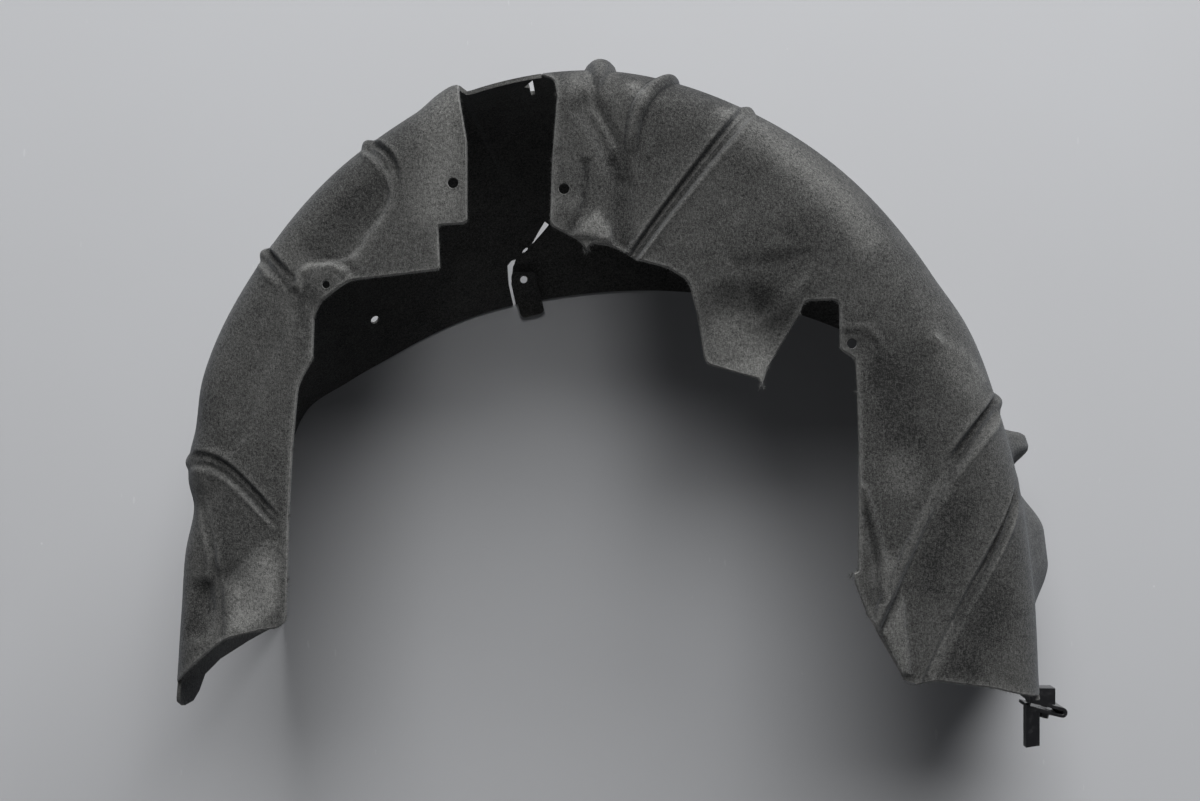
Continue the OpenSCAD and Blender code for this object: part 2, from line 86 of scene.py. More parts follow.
def along(keys, at):
    """Smooth curve through (position, value) keys."""
    xs, ys = np.array(keys, float).T
    order = np.arange(len(xs))
    lo, hi = np.maximum(order - 1, 0), np.minimum(order + 1, len(xs) - 1)
    slopes = (ys[hi] - ys[lo]) / (xs[hi] - xs[lo])
    x = np.clip(at, xs[0], xs[-1])
    i = np.clip(np.searchsorted(xs, x) - 1, 0, len(xs) - 2)
    width = xs[i + 1] - xs[i]
    t = (x - xs[i]) / width
    u = 1 - t
    ends = ys[i] * u * u * (1 + 2 * t) + ys[i + 1] * t * t * (3 - 2 * t)
    return ends + width * t * u * (slopes[i] * u - slopes[i + 1] * t)


def polar(r, degrees):
    a = np.radians(degrees)
    return np.stack([r * np.cos(a), r * np.sin(a)], axis=-1)


def fold_at(a):
    return ARCH_R + along(FOLD_KEYS, a)


def plan(a, inset):
    """Plan point at an angle about the arch's centre, a given way inside the fold."""
    a = np.asarray(a, float)
    return CENTRE + polar(fold_at(a) - inset, a)


def angle_and_inset(p):
    q = p - CENTRE
    a = np.degrees(np.arctan2(q[..., 1], q[..., 0]))
    a = np.where(a < -90, a + 360, a)
    return a, fold_at(a) - np.linalg.norm(q, axis=-1)


LEFT_SCREW = plan(116.5, 79)
RIGHT_SCREW = plan(97.1, 113.5)
TAB_HOLE = plan(144.8, 68.5)
LEG_HOLE = plan(28, 108.5)
print("Fold length along the arch, mm:", round(float(np.radians(238.6) * ARCH_R)))

# %% [markdown]
# The wall isn't flat. Round the holes it rises into small pads, between the ribs it sinks into shallow
# dishes, and thin creases run over it where the felt was stretched over the press tool. Each form is a small
# height that fades out smoothly with the distance from a point or a line, and all of them are added up.

# %% Pressed forms of the side wall
def pad(p, middle, radius, height):
    return height * smooth(1.5 - 1.5 * np.linalg.norm(p - middle, axis=-1) / radius)


def to_line(p, points):
    """Distance from each place to a line through points."""
    best = np.full(p.shape[:-1], 1e9)
    for a, b in zip(points[:-1], points[1:]):
        ab = b - a
        t = np.clip(((p - a) @ ab) / (ab @ ab), 0, 1)
        best = np.minimum(best, np.linalg.norm(p - a - t[..., None] * ab, axis=-1))
    return best


def crease(p, points, half, height):
    return height * smooth(1 - to_line(p, [np.array(q, float) for q in points]) / half)


VALLEY = [plan(91.5, 38), plan(88.4, 74), plan(85.3, 113), plan(85.5, 164)]


def relief(p, inset):
    """The forms that the part's source has too."""
    return (-WALL_LEAN * inset
            + pad(p, TAB_HOLE, 26, 4)
            + pad(p, LEG_HOLE, 30, -2)
            + pad(p, plan(98, 145), 30, 3)
            + pad(p, plan(45, 182.5), 55, -9)
            + pad(p, plan(50, 102.5), 80, 5)
            + pad(p, plan(198, 48), 44, -4)
            + crease(p, VALLEY, 15, -5)
            + crease(p, [plan(196, 25.5), plan(180, 26)], 24, -4)
            + crease(p, [plan(24, 46.5), plan(15, 13.5)], 14, 3))


def panel(p, corners, height, edge=7.0):
    """A flat facet inside a convex outline, given counterclockwise, with soft edges."""
    corners = [np.array(c, float) for c in corners]
    inside = np.full(p.shape[:-1], 1e9)
    for a, b in zip(corners, corners[1:] + corners[:1]):
        way = (b - a) / np.linalg.norm(b - a)
        inside = np.minimum(inside, (p - a) @ np.array([-way[1], way[0]]))
    return height * smooth(inside / edge)


def dish(a, inset, rim, start, end, depth, step=7.0):
    """A panel that sinks from the fold towards its rim and steps up again there."""
    edge = along(rim, a)
    inside = smooth(np.minimum(a - start, end - a) / 2.5)
    sink = np.clip(inset / np.maximum(edge - step, 1), 0, 1) ** 1.5
    return -depth * inside * sink * smooth((edge - inset) / step)


def fine_relief(p, a, inset):
    """Smaller creases, dishes and dents, too fine for the part's source."""
    return (
        # left shoulder, between its two ribs and round the corner tab
        dish(a, inset, [(124, 20), (126.4, 54), (129.3, 67), (133.5, 71), (138, 74), (143, 56)],
             124.6, 145, 4)
        + dish(a, inset, [(147, 40), (152, 62), (160, 66), (170, 64), (177, 50)], 147.6, 177.5, 2.2, 10)
        + crease(p, [(-275, 103), (-272, 116), (-260, 122), (-243, 123), (-231, 117)], 5, 2.4)
        + crease(p, [(-276, 96), (-274, 84), (-270, 66)], 9, -2.4)
        + crease(p, [(-287, 95), (-284, 66), (-281, 30)], 8, 1.0)
        # left leg: the swelling at the fold, its long creases, the dent near the toe and the raised patch
        + pad(p, np.array([-362.0, -66.0]), 24, 3.2)
        + crease(p, [(-366, -62), (-357, -84), (-350, -111), (-344, -152)], 5, 2.8)
        + crease(p, [(-370, -98), (-362, -116), (-356, -135), (-354, -162)], 5, 2.6)
        + crease(p, [(-361, -80), (-355, -104), (-349, -140)], 5, -2.0)
        + panel(p, [(-380, -218), (-357, -220), (-346, -188), (-351, -160), (-372, -163)], -4.6, 8)
        + panel(p, [(-343, -230), (-286, -226), (-284, -132), (-303, -125), (-345, -167)], 2.8, 6)
        # crown: the flange beside the notch, the raised patch and the valley beside it
        + crease(p, [(-13, 216), (-15, 180), (-20, 167), (-30, 150)], 4.5, -3.6)
        + panel(p, [(-25, 149), (13, 141), (12, 155), (-2, 175), (-14, 165)], 2.8, 4)
        + crease(p, [(-11, 281), (-7, 263), (4, 245), (11, 231), (16, 216), (18, 205)], 6, 1.9)
        + crease(p, [(-20, 262), (-9, 246), (0, 230), (6, 214)], 9, -1.6)
        # tongue and right shoulder
        + panel(p, [(141, 66), (190, 112), (200, 142), (112, 130)], -2.2, 9)
        + crease(p, [(143, 67), (173, 86), (195, 124), (204, 141)], 6, 1.4)
        + crease(p, [(300, 58), (317, 51), (333, 43), (352, 19)], 7, 2.2)
        + crease(p, [(221, 66), (243, 66), (255, 52), (253, 40)], 6, 1.5)
        # right leg: the facet at the foot of the long rib and the crease along the cut edge
        + panel(p, [(253, -211), (270, -252), (284, -250), (276, -172)], 4.2, 4)
        + crease(p, [(241, -104), (250, -145), (252, -169), (250, -187)], 5, -2.6)
        + crease(p, [(240, -80), (252, -122), (258, -150), (257, -178)], 6, 2.4)
        + crease(p, [(297, -100), (281, -132), (266, -156)], 6, 1.4))


def wall_height(p):
    a, inset = angle_and_inset(p)
    inset = np.maximum(inset, 0)
    r = along(ROUND_KEYS, a)
    near = np.minimum(inset, r)
    drop = r - np.sqrt(np.maximum(r * r - (r - near) ** 2, 0))
    forms = relief(p, inset) + fine_relief(p, a, inset)
    return DEPTH + forms * smooth(inset / r) - drop


# %% [markdown]
# The sheet is a grid. Its columns start at the fender edge, climb the band, turn over the fold and cross the
# side wall. Where a rib runs, the columns follow it, so that its crisp sides never cut across the grid.

# %% Lines that the columns of the sheet follow
# Fold angle, places at one and two thirds and at the end as angle and inset, the kind (0 plain, 1 rib,
# 2 pocket), the width kept inside, and the heights along the line: way inwards from the fold, height
RIB_LINES = [
    (-26.6, (-31.5, 50), (-36.5, 100), (-42, 150), 0, 1, None),
    (0.1, (-10.7, 46), (-22.7, 94.4), (-35, 149), 1, 1,
     [(-1, 0), (42, 0), (50, -5), (85, -4.8), (125, -3), (160, -1.8), (240, -1.5)]),
    (10.5, (2.4, 65), (-11.7, 122), (-32.7, 203), 1, 1,
     [(-110, 0), (-40, 7), (0, 7), (14, 3.5), (28, -4.6), (94, -4.2), (125, 2), (160, 3.5), (210, 6),
      (270, 6)]),
    (18, (13, 55), (7, 112), (-0.5, 167), 0, 1, None),
    (26, (23, 50), (18, 102), (13, 150), 0, 1, None),
    (34, (31, 62), (28, 122), (24, 176), 0, 1, None),
    (42, (39, 75), (34, 148), (27, 216), 0, 1, None),
    (50, (48.5, 76), (46, 154), (41, 232), 0, 1, None),
    (58, (59, 64), (60, 130), (61.5, 196), 0, 1, None),
    (67.8, (71.1, 60), (75.8, 120), (82.2, 177), 1, 0.62,
     [(-110, 0), (-40, 5), (0, 5), (14, 2), (28, -4), (100, -4), (190, -5), (230, -5)]),
    (79.8, (84.6, 56), (83.8, 117), (86.6, 177), 1, 0.3,
     [(-110, 0), (-40, 7), (0, 7), (30, 5.8), (60, 5), (90, 4), (104, 2.4), (112, 0)]),
    (89.9, (89.2, 57), (86.6, 114), (89.6, 177), 2, 0.2,
     [(-120, 0), (-40, 11), (0, 11), (20, 10), (34, 8), (46, 4.5), (52, 0)]),
    (96.5, (98, 57), (99.5, 114), (101.5, 172), 0, 1, None),
    (109.0, (110.4, 57), (113.1, 114), (119.8, 172), 0, 1, None),
    (110.0, (112.1, 57), (115.1, 114), (122.1, 172), 0, 1, None),
    (125.1, (124.7, 46), (130.8, 75), (139, 107), 1, 1,
     [(-110, 0), (-40, 6), (0, 6), (10, 3), (18, -4), (44, -4), (70, -1), (90, 0)]),
    (146.5, (147.6, 34), (149.2, 64), (151.2, 97), 1, 1,
     [(-110, 0), (-40, 6), (0, 6), (9, 3), (16, -4.5), (38, -4.5), (58, -1), (70, 0)]),
    (178, (178.2, 35), (183.2, 63), (191.6, 110), 1, 1,
     [(-110, 0), (-40, 3), (0, 3.5), (14, 2), (30, -2.6), (80, -3.4), (108, -3.9), (122, -1), (130, 0)]),
    (212, (213, 40), (214.5, 82), (216.5, 125), 0, 1, None),
]
RIB_SHARES = np.array([0.2, 0.4, 0.55, 0.68, 0.8, 0.92, 1.06, 1.25, 1.55, 1.9])
WIDER_RIBS = {10.5: 1.25, 79.8: 1.1}
RAISED_RIBS = (79.8,)
WIDE_SHADES = (0.1, 10.5)
SOFT_SHADES = {178: 0.5}
RIB_SOFTNESS, RAISED_SOFTNESS, POCKET_SOFTNESS = 1.5, 0.9, 0.6
POCKET_POINT = 52.0
COLUMN_STEP = 4.2


def column_of(line, share):
    """A column beside a line: fold angle, three plan points, place across the rib."""
    a0, one, two, three, kind, keep = line[:6]
    half = (POCKET_W if kind == 2 else RIB_W * WIDER_RIBS.get(a0, 1)) / 2
    a = a0 + np.degrees(share * half / fold_at(a0))
    move = plan(a, 0) - plan(a0, 0)
    spots = [plan(*spot) + move * (1 - (1 - keep) * (i + 1) / 3) for i, spot in enumerate((one, two, three))]
    return a, spots, share


columns = []
for line in RIB_LINES:
    beside = RIB_SHARES if line[5] > 0.5 else RIB_SHARES[:7] / 1.06
    shares = [0.0] if line[4] == 0 else np.concatenate([-beside[::-1], [0.0], beside])
    station = [(*column_of(line, s), line) for s in shares]
    if columns:
        last, first = columns[-1], station[0]
        ways = [np.linalg.norm(plan(last[0], 0) - plan(first[0], 0))]
        ways += [np.linalg.norm(q - w) for q, w in zip(last[1], first[1])]
        count = int(np.ceil(max(ways) / COLUMN_STEP))
        for k in range(1, count):
            t = k / count
            spots = [q * (1 - t) + w * t for q, w in zip(last[1], first[1])]
            columns.append((last[0] * (1 - t) + first[0] * t, spots, None, None))
    columns += station
print("Columns of the sheet:", len(columns))

# %% [markdown]
# Now every place of the grid gets its point. On the band it lies between the fender edge and the fold, and on
# the wall it lies on the column's path at the wall's height. Ribs and bulges then move it along the normal.

# %% Points of the sheet
BAND_ROWS, FOLD_ROWS, WALL_ROWS = 18, 12, 62
col_a = np.array([c[0] for c in columns])
spots = np.array([c[1] for c in columns])
round_of = along(ROUND_KEYS, col_a)


def lip_point(a):
    f = 90 + (a - 90) * LIP_RATIO
    return LIP_CENTRE + polar(LIP_R + along(LIP_KEYS, f), f)


def band_point(a, t):
    """Place on the band, from 0 at the fender edge to 1 under the fold."""
    bend = 1 + DOME * np.maximum(np.sin(np.radians(a)), 0) ** 1.5
    share = (1 - (1 - t) ** bend)[..., None]
    p = lip_point(a) * (1 - share) + plan(a, 0) * share
    z = t * (DEPTH - along(ROUND_KEYS, a))
    return np.concatenate([p, z[..., None] if np.ndim(z) else [z]], axis=-1)


def column_path(v):
    q = (3 * v)[:, None]
    return (plan(col_a, 0) * (1 - q) * (2 - q) * (3 - q) / 6
            + spots[:, 0] * q * (2 - q) * (3 - q) / 2
            + spots[:, 1] * q * (q - 1) * (3 - q) / 2
            + spots[:, 2] * q * (q - 1) * (q - 2) / 6)


def fold_share(beta):
    step = 0.01
    inwards = plan(col_a, 0) - column_path(np.full(len(col_a), step))
    pace = np.sum(inwards * polar(1.0, col_a), axis=1) / step
    return round_of * (1 - np.cos(np.radians(beta))) / pace


rows, ways = [], []
for r in range(BAND_ROWS):
    t = r / BAND_ROWS
    rows.append(band_point(col_a, np.full(len(col_a), t)))
    ways.append((t - 1) * (DEPTH - round_of))
for r in range(FOLD_ROWS + WALL_ROWS + 1):
    if r < FOLD_ROWS:
        v = fold_share(90 * r / FOLD_ROWS)
    else:
        start = fold_share(90)
        v = start + (1 - start) * (r - FOLD_ROWS) / WALL_ROWS
    p = column_path(v)
    rows.append(np.concatenate([p, wall_height(p)[:, None]], axis=1))
    ways.append(np.linalg.norm(rows[-1] - rows[-2], axis=1) + ways[-1] if r else np.zeros(len(col_a)))
base = np.stack(rows, axis=1)
way = np.stack(ways, axis=1)


def grid_normals(grid):
    across = np.empty_like(grid)
    across[1:-1] = grid[2:] - grid[:-2]
    across[0], across[-1] = grid[1] - grid[0], grid[-1] - grid[-2]
    up = np.empty_like(grid)
    up[:, 1:-1] = grid[:, 2:] - grid[:, :-2]
    up[:, 0], up[:, -1] = grid[:, 1] - grid[:, 0], grid[:, -1] - grid[:, -2]
    normal = np.cross(across, up)
    return normal / np.linalg.norm(normal, axis=-1, keepdims=True)


def rib_lift(share, line, distance):
    """Height of a rib: a round bead where its key is positive, a groove with soft lips where negative."""
    height = along(line[6], distance)
    # the pocket narrows to a point
    width = np.clip(1 - distance / POCKET_POINT, 0.05, 1) if line[4] == 2 else 1.0
    softness = RAISED_SOFTNESS if line[0] in RAISED_RIBS else RIB_SOFTNESS
    softness = POCKET_SOFTNESS if line[4] == 2 else softness
    bead = np.maximum(1 - (share / width) ** 2, 0) ** softness
    across = abs(share)
    groove = smooth((1 - across) / 0.45) * (1 - 0.3 * smooth(1 - across / 0.4))
    lips = 0.3 * smooth(1 - abs(across - 1.25) / 0.6) if line[5] > 0.5 else 0
    return np.where(height > 0, height * bead, height * (groove - lips))


def rib_painted_light(share, line, distance):
    """Painted shade and painted highlight across a rib: shade on the flank turned from the lamps and at a
    bead's foot, highlights on the lips and the lit side of a crest.
    """
    height = along(line[6], distance)
    # the flank that faces away from the lamps beyond the crown takes the painted shade
    side = share if line[0] < 90 else -share
    deep, high = np.clip(-height / 4, 0, 1), np.clip(height / 5, 0, 1)
    on_wall = smooth(distance / 20)
    width = np.clip(1 - distance / POCKET_POINT, 0.05, 1) if line[4] == 2 else 1.0
    foot = abs(abs(share) - width)
    if line[0] not in RAISED_RIBS and line[4] == 1:
        foot = np.where(distance > 60, abs(side + 1.0), foot)
    wide = smooth((125 - distance) / 25) * (line[0] in WIDE_SHADES)
    dark = deep * (0.8 * smooth(1 - abs(side - 0.6 + 0.25 * wide) / (0.42 + 0.33 * wide))
                   + 0.4 * (1 - wide) * smooth(1 - abs(side + 0.5) / 0.32))
    # painted shade at the foot of a raised bead
    dark = np.maximum(dark, high * (0.45 + 0.5 * on_wall) * smooth(1 - foot / 0.35))
    dark = dark * SOFT_SHADES.get(line[0], 1)
    # painted highlights on a groove's lips and on the lit side of a bead's crest
    pale = deep * 0.4 * smooth(1 - abs(abs(share) - 1.15) / 0.35)
    return dark, np.maximum(pale, high * 0.35 * smooth(1 - abs(side - 0.2) / 0.55))


lift, rib_painted_shade, rib_painted_highlight = (np.zeros(way.shape) for _ in range(3))
for i, (_, _, share, line) in enumerate(columns):
    if line is not None and line[4]:
        lift[i] = rib_lift(share, line, way[i])
        rib_painted_shade[i], rib_painted_highlight[i] = rib_painted_light(share, line, way[i])
t = np.arange(BAND_ROWS + 1) / BAND_ROWS
BULGES = [(-10.5, 0.6, 9.5, 0.36, 0.85), (4.7, 0.62, 3.1, 0.3, 0.95)]
swell = np.zeros((len(col_a), BAND_ROWS + 1))
for at, up, half_a, half_t, share in BULGES:
    swell = np.maximum(swell, share * smooth(1.3 - 1.3 * abs(col_a - at) / half_a)[:, None]
                       * smooth(1.3 - 1.3 * abs(t - up) / half_t)[None, :])
lift[:, :BAND_ROWS + 1] += BULGE_H * swell
outer = base + lift[..., None] * grid_normals(base)
outer[:, 0, 2] = 0
print("Points of the sheet:", outer.shape[0] * outer.shape[1])


# %% [markdown]
# In Blender the sheet starts as a plain grid with as many lines. Its points are moved to the places that
# were worked out, Solidify gives it the felt's thickness, and the piece is then trimmed like the real one,
# which is pressed first and cut afterwards.

# %% The pressed sheet
def only(obj):
    bpy.ops.object.select_all(action="DESELECT")
    obj.select_set(True)
    bpy.context.view_layer.objects.active = obj
    return obj


def apply_modifier(obj, kind, **settings):
    only(obj)
    mod = obj.modifiers.new(kind.title(), kind)
    for key, value in settings.items():
        setattr(mod, key, value)
    bpy.ops.object.modifier_apply(modifier=mod.name)


def to_part(points):
    return ((np.asarray(points, float) - MIDDLE) * MM).astype(np.float32)


def new_material(name):
    mat = bpy.data.materials.new(name)
    mat.use_nodes = True
    return mat


felt = new_material("pressed_felt")
felt_edge = new_material("cut_felt")
felt_in_painted_shade = new_material("wheel_side_felt_painted_shade")

bpy.ops.object.select_all(action="DESELECT")
bpy.ops.mesh.primitive_grid_add(x_subdivisions=outer.shape[0] - 1, y_subdivisions=outer.shape[1] - 1, size=1)
liner = bpy.context.object
liner.name = "liner_felt"
for mat in (felt, felt_edge, felt_in_painted_shade):
    liner.data.materials.append(mat)
liner.data.vertices.foreach_set("co", to_part(outer.transpose(1, 0, 2).reshape(-1, 3)).ravel())
liner.data.update()
apply_modifier(liner, "SOLIDIFY", thickness=FELT * MM, offset=-1.0, use_rim=True, material_offset=2,
               material_offset_rim=1)
spots_now = np.empty(len(liner.data.vertices) * 3, np.float32)
liner.data.vertices.foreach_get("co", spots_now)
spots_now[2::3] = np.maximum(spots_now[2::3], 0)
liner.data.vertices.foreach_set("co", spots_now)
print("The sheet has", len(liner.data.polygons), "faces")

# %% [markdown]
# The outline of the side wall, its holes and the trimmed leg are cut with the Boolean modifier. A cutter is
# lofted from its outline in levels that follow the wall's height, and it widens at the top, so that the cut
# leaves a small slanted edge, as a knife does in thick felt. The cutter's material stays on the cut faces.

# %% Outline of what is cut out of the side wall
# Angle, inset and corner radius, from the left leg's toe over the notch and the tongue to the right leg's toe
CUT_LINE = [
    (207, -30, 0), (205.8, 4, 0), (204.6, 25.5, 30), (203.2, 53, 40), (204.2, 89.5, 30), (205.4, 116, 20),
    (198, 108, 40), (187, 96, 60), (174.7, 97, 60), (163, 91, 40), (157.6, 93, 12), (150.5, 74.5, 10),
    (147.8, 73, 4), (141.8, 82.5, 14), (127.6, 135.5, 5), (122.7, 102.5, 3), (117.6, 116.5, 5),
    (111.6, 59, 0), (109.2, -30, 0), (98.9, -30, 0), (98.3, 4, 0), (96.5, 12, 12), (96.4, 29, 20),
    (98.6, 86.5, 60), (101.2, 144, 8), (95, 161.5, 6),
    (93.4, 170, 0), (92, 164.5, 3), (86.5, 165.5, 20), (80.4, 173, 30), (72, 170, 30), (65.8, 172.5, 14),
    (58, 197.5, 40), (47.1, 224.5, 9), (31.8, 195.5, 0), (29.2, 198, 0), (33, 183.5, 10), (39.4, 131, 8),
    (40.8, 120.5, 6), (36.6, 95, 6), (28, 120.5, 6), (24.9, 114.5, 8), (18.4, 128.5, 30), (5.5, 146, 60),
    (-19.8, 182.5, 2), (-21, 191, 1), (-27.2, 187, 30), (-34.2, 160, 10), (-31.2, 125, 30), (-28.2, 62, 40),
    (-26.6, 8, 0), (-26, -30, 0),
]
CUT_FLOOR = DEPTH - 27
CUT_TOP = DEPTH + 40
BELOW_TOES = ARCH_R + 120
CORNER_STEPS = 8
CUT_STEP = 4.0


def rounded(before, at, after, radius):
    """Points of an arc that rounds a corner."""
    u, v = before - at, after - at
    reach_max = 0.45 * min(np.linalg.norm(u), np.linalg.norm(v))
    u, v = u / np.linalg.norm(u), v / np.linalg.norm(v)
    half = np.arccos(np.clip(u @ v, -1, 1)) / 2
    reach = min(radius / np.tan(half), reach_max)
    radius = reach * np.tan(half)
    middle = at + (u + v) / np.linalg.norm(u + v) * radius / np.sin(half)
    start = at + u * reach - middle
    turn = -np.sign(u[0] * v[1] - u[1] * v[0]) * (np.pi - 2 * half)
    turns = turn * np.arange(CORNER_STEPS + 1) / CORNER_STEPS
    return [middle + np.array([start[0] * np.cos(s) - start[1] * np.sin(s),
                               start[0] * np.sin(s) + start[1] * np.cos(s)]) for s in turns]


def with_steps(points, step):
    """The open line again, with no piece of it longer than a step."""
    out = []
    for p, q in zip(points[:-1], points[1:]):
        count = max(int(np.ceil(np.linalg.norm(q - p) / step)), 1)
        out += [p + (q - p) * k / count for k in range(count)]
    return np.array(out + [points[-1]])


corners = [plan(a, inset) for a, inset, _ in CUT_LINE]
outline = [corners[0]]
for i in range(1, len(CUT_LINE) - 1):
    radius = CUT_LINE[i][2]
    outline += rounded(*corners[i - 1:i + 2], radius) if radius else [corners[i]]
outline.append(corners[-1])
felt_line = with_steps(outline, CUT_STEP)
wall_outline = np.concatenate([felt_line, [(corners[-1][0], -BELOW_TOES), (corners[0][0], -BELOW_TOES)]])
print("Cut outline:", len(wall_outline), "points")

# %% Cutters that follow the wall's height
wall_points = outer[:, BAND_ROWS:].reshape(-1, 3)
tree = kdtree.KDTree(len(wall_points))
for i, p in enumerate(wall_points):
    tree.insert((p[0], p[1], 0), i)
tree.balance()


def felt_height(p):
    """Height of the wall's upper face over a plan point, from the nearest places of the sheet."""
    near = tree.find_n((p[0], p[1], 0), 4)
    weights = np.array([1 / (distance + 0.3) for _, _, distance in near])
    return float(weights @ [wall_points[i][2] for _, i, _ in near] / weights.sum())


EDGE_DROP = 1.5
EDGE_OUT = 1.6
EDGE_PALE = 4.5


def outward(points):
    """Unit normals of a closed outline, pointing out of it."""
    edge = np.roll(points, -1, axis=0) - points
    edge /= np.linalg.norm(edge, axis=1, keepdims=True)
    both = edge + np.roll(edge, 1, axis=0)
    both /= np.maximum(np.linalg.norm(both, axis=1, keepdims=True), 0.3)
    area = np.sum(points[:, 0] * np.roll(points[:, 1], -1) - np.roll(points[:, 0], -1) * points[:, 1])
    return np.stack([both[:, 1], -both[:, 0]], axis=1) * np.sign(area)


def loft(name, levels):
    """A closed solid through outlines with as many points each, from the lowest to the highest."""
    bpy.ops.object.select_all(action="DESELECT")
    bpy.ops.mesh.primitive_circle_add(vertices=len(levels[0]), radius=1, fill_type="NGON")
    obj = bpy.context.object
    obj.name = name
    bpy.ops.object.mode_set(mode="EDIT")
    bpy.ops.mesh.select_all(action="SELECT")
    for _ in levels[1:]:
        bpy.ops.mesh.extrude_region_move(TRANSFORM_OT_translate={"value": (0, 0, 1)})
    bpy.ops.object.mode_set(mode="OBJECT")
    obj.data.vertices.foreach_set("co", to_part(np.concatenate(levels)).ravel())
    bpy.ops.object.mode_set(mode="EDIT")
    bpy.ops.mesh.select_all(action="SELECT")
    bpy.ops.mesh.normals_make_consistent(inside=False)
    bpy.ops.object.mode_set(mode="OBJECT")
    obj.data.materials.append(felt_edge)
    return obj


def level(points, heights):
    return np.column_stack([points, np.broadcast_to(heights, len(points))])


def wall_cutter(name, points, share=1.0):
    heights = np.array([felt_height(p) for p in points])
    wide = points + outward(points) * EDGE_OUT * share
    return loft(name, [level(points, CUT_FLOOR), level(points, heights - EDGE_DROP * share),
                       level(wide, heights + 0.15), level(wide, CUT_TOP)])


def trim(obj, cutter, mode="DIFFERENCE"):
    only(obj)
    mod = obj.modifiers.new("Trim", "BOOLEAN")
    mod.operation = mode
    mod.solver = "MANIFOLD"
    mod.material_mode = "TRANSFER"
    mod.object = cutter
    bpy.ops.object.modifier_apply(modifier=mod.name)
    bpy.data.objects.remove(cutter, do_unlink=True)


def ring(at, diameter, count=40):
    return at + polar(diameter / 2, np.arange(count) * 360 / count)


print("Felt height beside the left screw hole, mm:", round(felt_height(LEFT_SCREW), 1))

# %% Slit, slot, toe and holes
TOE_LINE = [(-239, -2), (-246, 90), (-253, 150), (-262, 180), (-276, 190), (-283, 200), (-284, 216),
            (-278, 226), (-266, 232)]
SLIT_LINE = np.array([(-56.0, 187.0), (-63.0, 178.0), (-70.5, 168.5), (-73.0, 166.0), (-76.5, 163.0),
                      (-78.5, 161.2), (-81.0, 159.0), (-83.0, 157.2), (-90.0, 150.5), (-93.0, 147.5),
                      (-96.0, 143.5), (-97.0, 125.0), (-90.0, 90.0)])
SLIT_WIDTHS = np.array([5.5, 4.0, 1.4, 0.2, 0.2, 2.8, 2.8, 0.2, 0.2, 4.5, 6.0, 3.0, 3.0])
LAP_HOLE, LAP_W, LAP_LEN, LAP_D = np.array([-82.0, 130.0]), 26.0, 52.0, 8.0
LAP_TURN, LAP_CORNER, LAP_LIFT = 14.0, 5.0, 0.4

ways_on = np.gradient(SLIT_LINE, axis=0)
ways_on /= np.linalg.norm(ways_on, axis=1, keepdims=True)
sides = np.stack([-ways_on[:, 1], ways_on[:, 0]], axis=1) * SLIT_WIDTHS[:, None] / 2
slit = np.concatenate([SLIT_LINE + sides, (SLIT_LINE - sides)[::-1]])
trim(liner, loft("slit_cutter", [level(slit, -1), level(slit, 70)]))

# The tab that laps over the slit lies on the band's inner face and runs level past the fender edge
lap_angle = float(angle_and_inset(LAP_HOLE)[0]) + 6
lap_top = DEPTH - float(along(ROUND_KEYS, lap_angle))


def lap_y(t):
    return band_point(np.array([lap_angle]), np.array([t]))[0][1]


under = [(lap_y(t), t * lap_top + FELT * 0.8) for t in (0.005, 0.03, 0.06, 0.1)]
over = [(y - FELT * 0.5, z + FELT) for y, z in reversed(under)]
tip = LAP_HOLE[1] - 1.2 * LAP_LEN
lap = np.array([(tip, LAP_LIFT), (lap_y(0), LAP_LIFT), *under, *over, (tip, LAP_LIFT + FELT)])
lap_sides = [np.column_stack([np.full(len(lap), LAP_HOLE[0] + s * LAP_LEN), lap]) for s in (-1, 1)]
sheet_of_lap = loft("lap", lap_sides)
# the tab takes the wheel side's darker felt, painted shade as there
sheet_of_lap.data.materials[0] = felt_in_painted_shade
arc = np.arange(0, 181, 12)
low = LAP_W / 2 + LAP_CORNER - LAP_LEN
right = np.array([LAP_W / 2 - LAP_CORNER, low])
lap_plan = np.concatenate([polar(LAP_W / 2, arc),
                           right * [-1, 1] + polar(LAP_CORNER, np.arange(180, 271, 15)),
                           right + polar(LAP_CORNER, np.arange(270, 361, 15))])
turn = np.radians(LAP_TURN)
lap_plan = lap_plan @ np.array([[np.cos(turn), np.sin(turn)], [-np.sin(turn), np.cos(turn)]]) + LAP_HOLE
trim(sheet_of_lap, loft("lap_outline", [level(lap_plan, -5), level(lap_plan, 70)]), "INTERSECT")
trim(liner, sheet_of_lap, "UNION")

# The side wall's outline and the left leg's end
trim(liner, wall_cutter("outline_cutter", wall_outline))
toe = np.array([*TOE_LINE, (TOE_LINE[-1][0], 300), (-BELOW_TOES, 300), (-BELOW_TOES, -2)])
toe_sides = [np.column_stack([np.full(len(toe), x), toe]) for x in (-ARCH_R - 120, -ARCH_R + 120)]
trim(liner, loft("toe_cutter", toe_sides))

for name, at, diameter in (("left_screw", LEFT_SCREW, 9.5), ("right_screw", RIGHT_SCREW, 9.5),
                           ("tab_hole", TAB_HOLE, 6.8), ("leg_hole", LEG_HOLE, 9.0)):
    trim(liner, wall_cutter(name + "_cutter", ring(at, diameter), 0.3))
lap_ring = ring(LAP_HOLE, LAP_D)
trim(liner, loft("lap_hole_cutter", [level(lap_ring, -1), level(lap_ring, 70)]))
print("The trimmed liner has", len(liner.data.polygons), "faces")


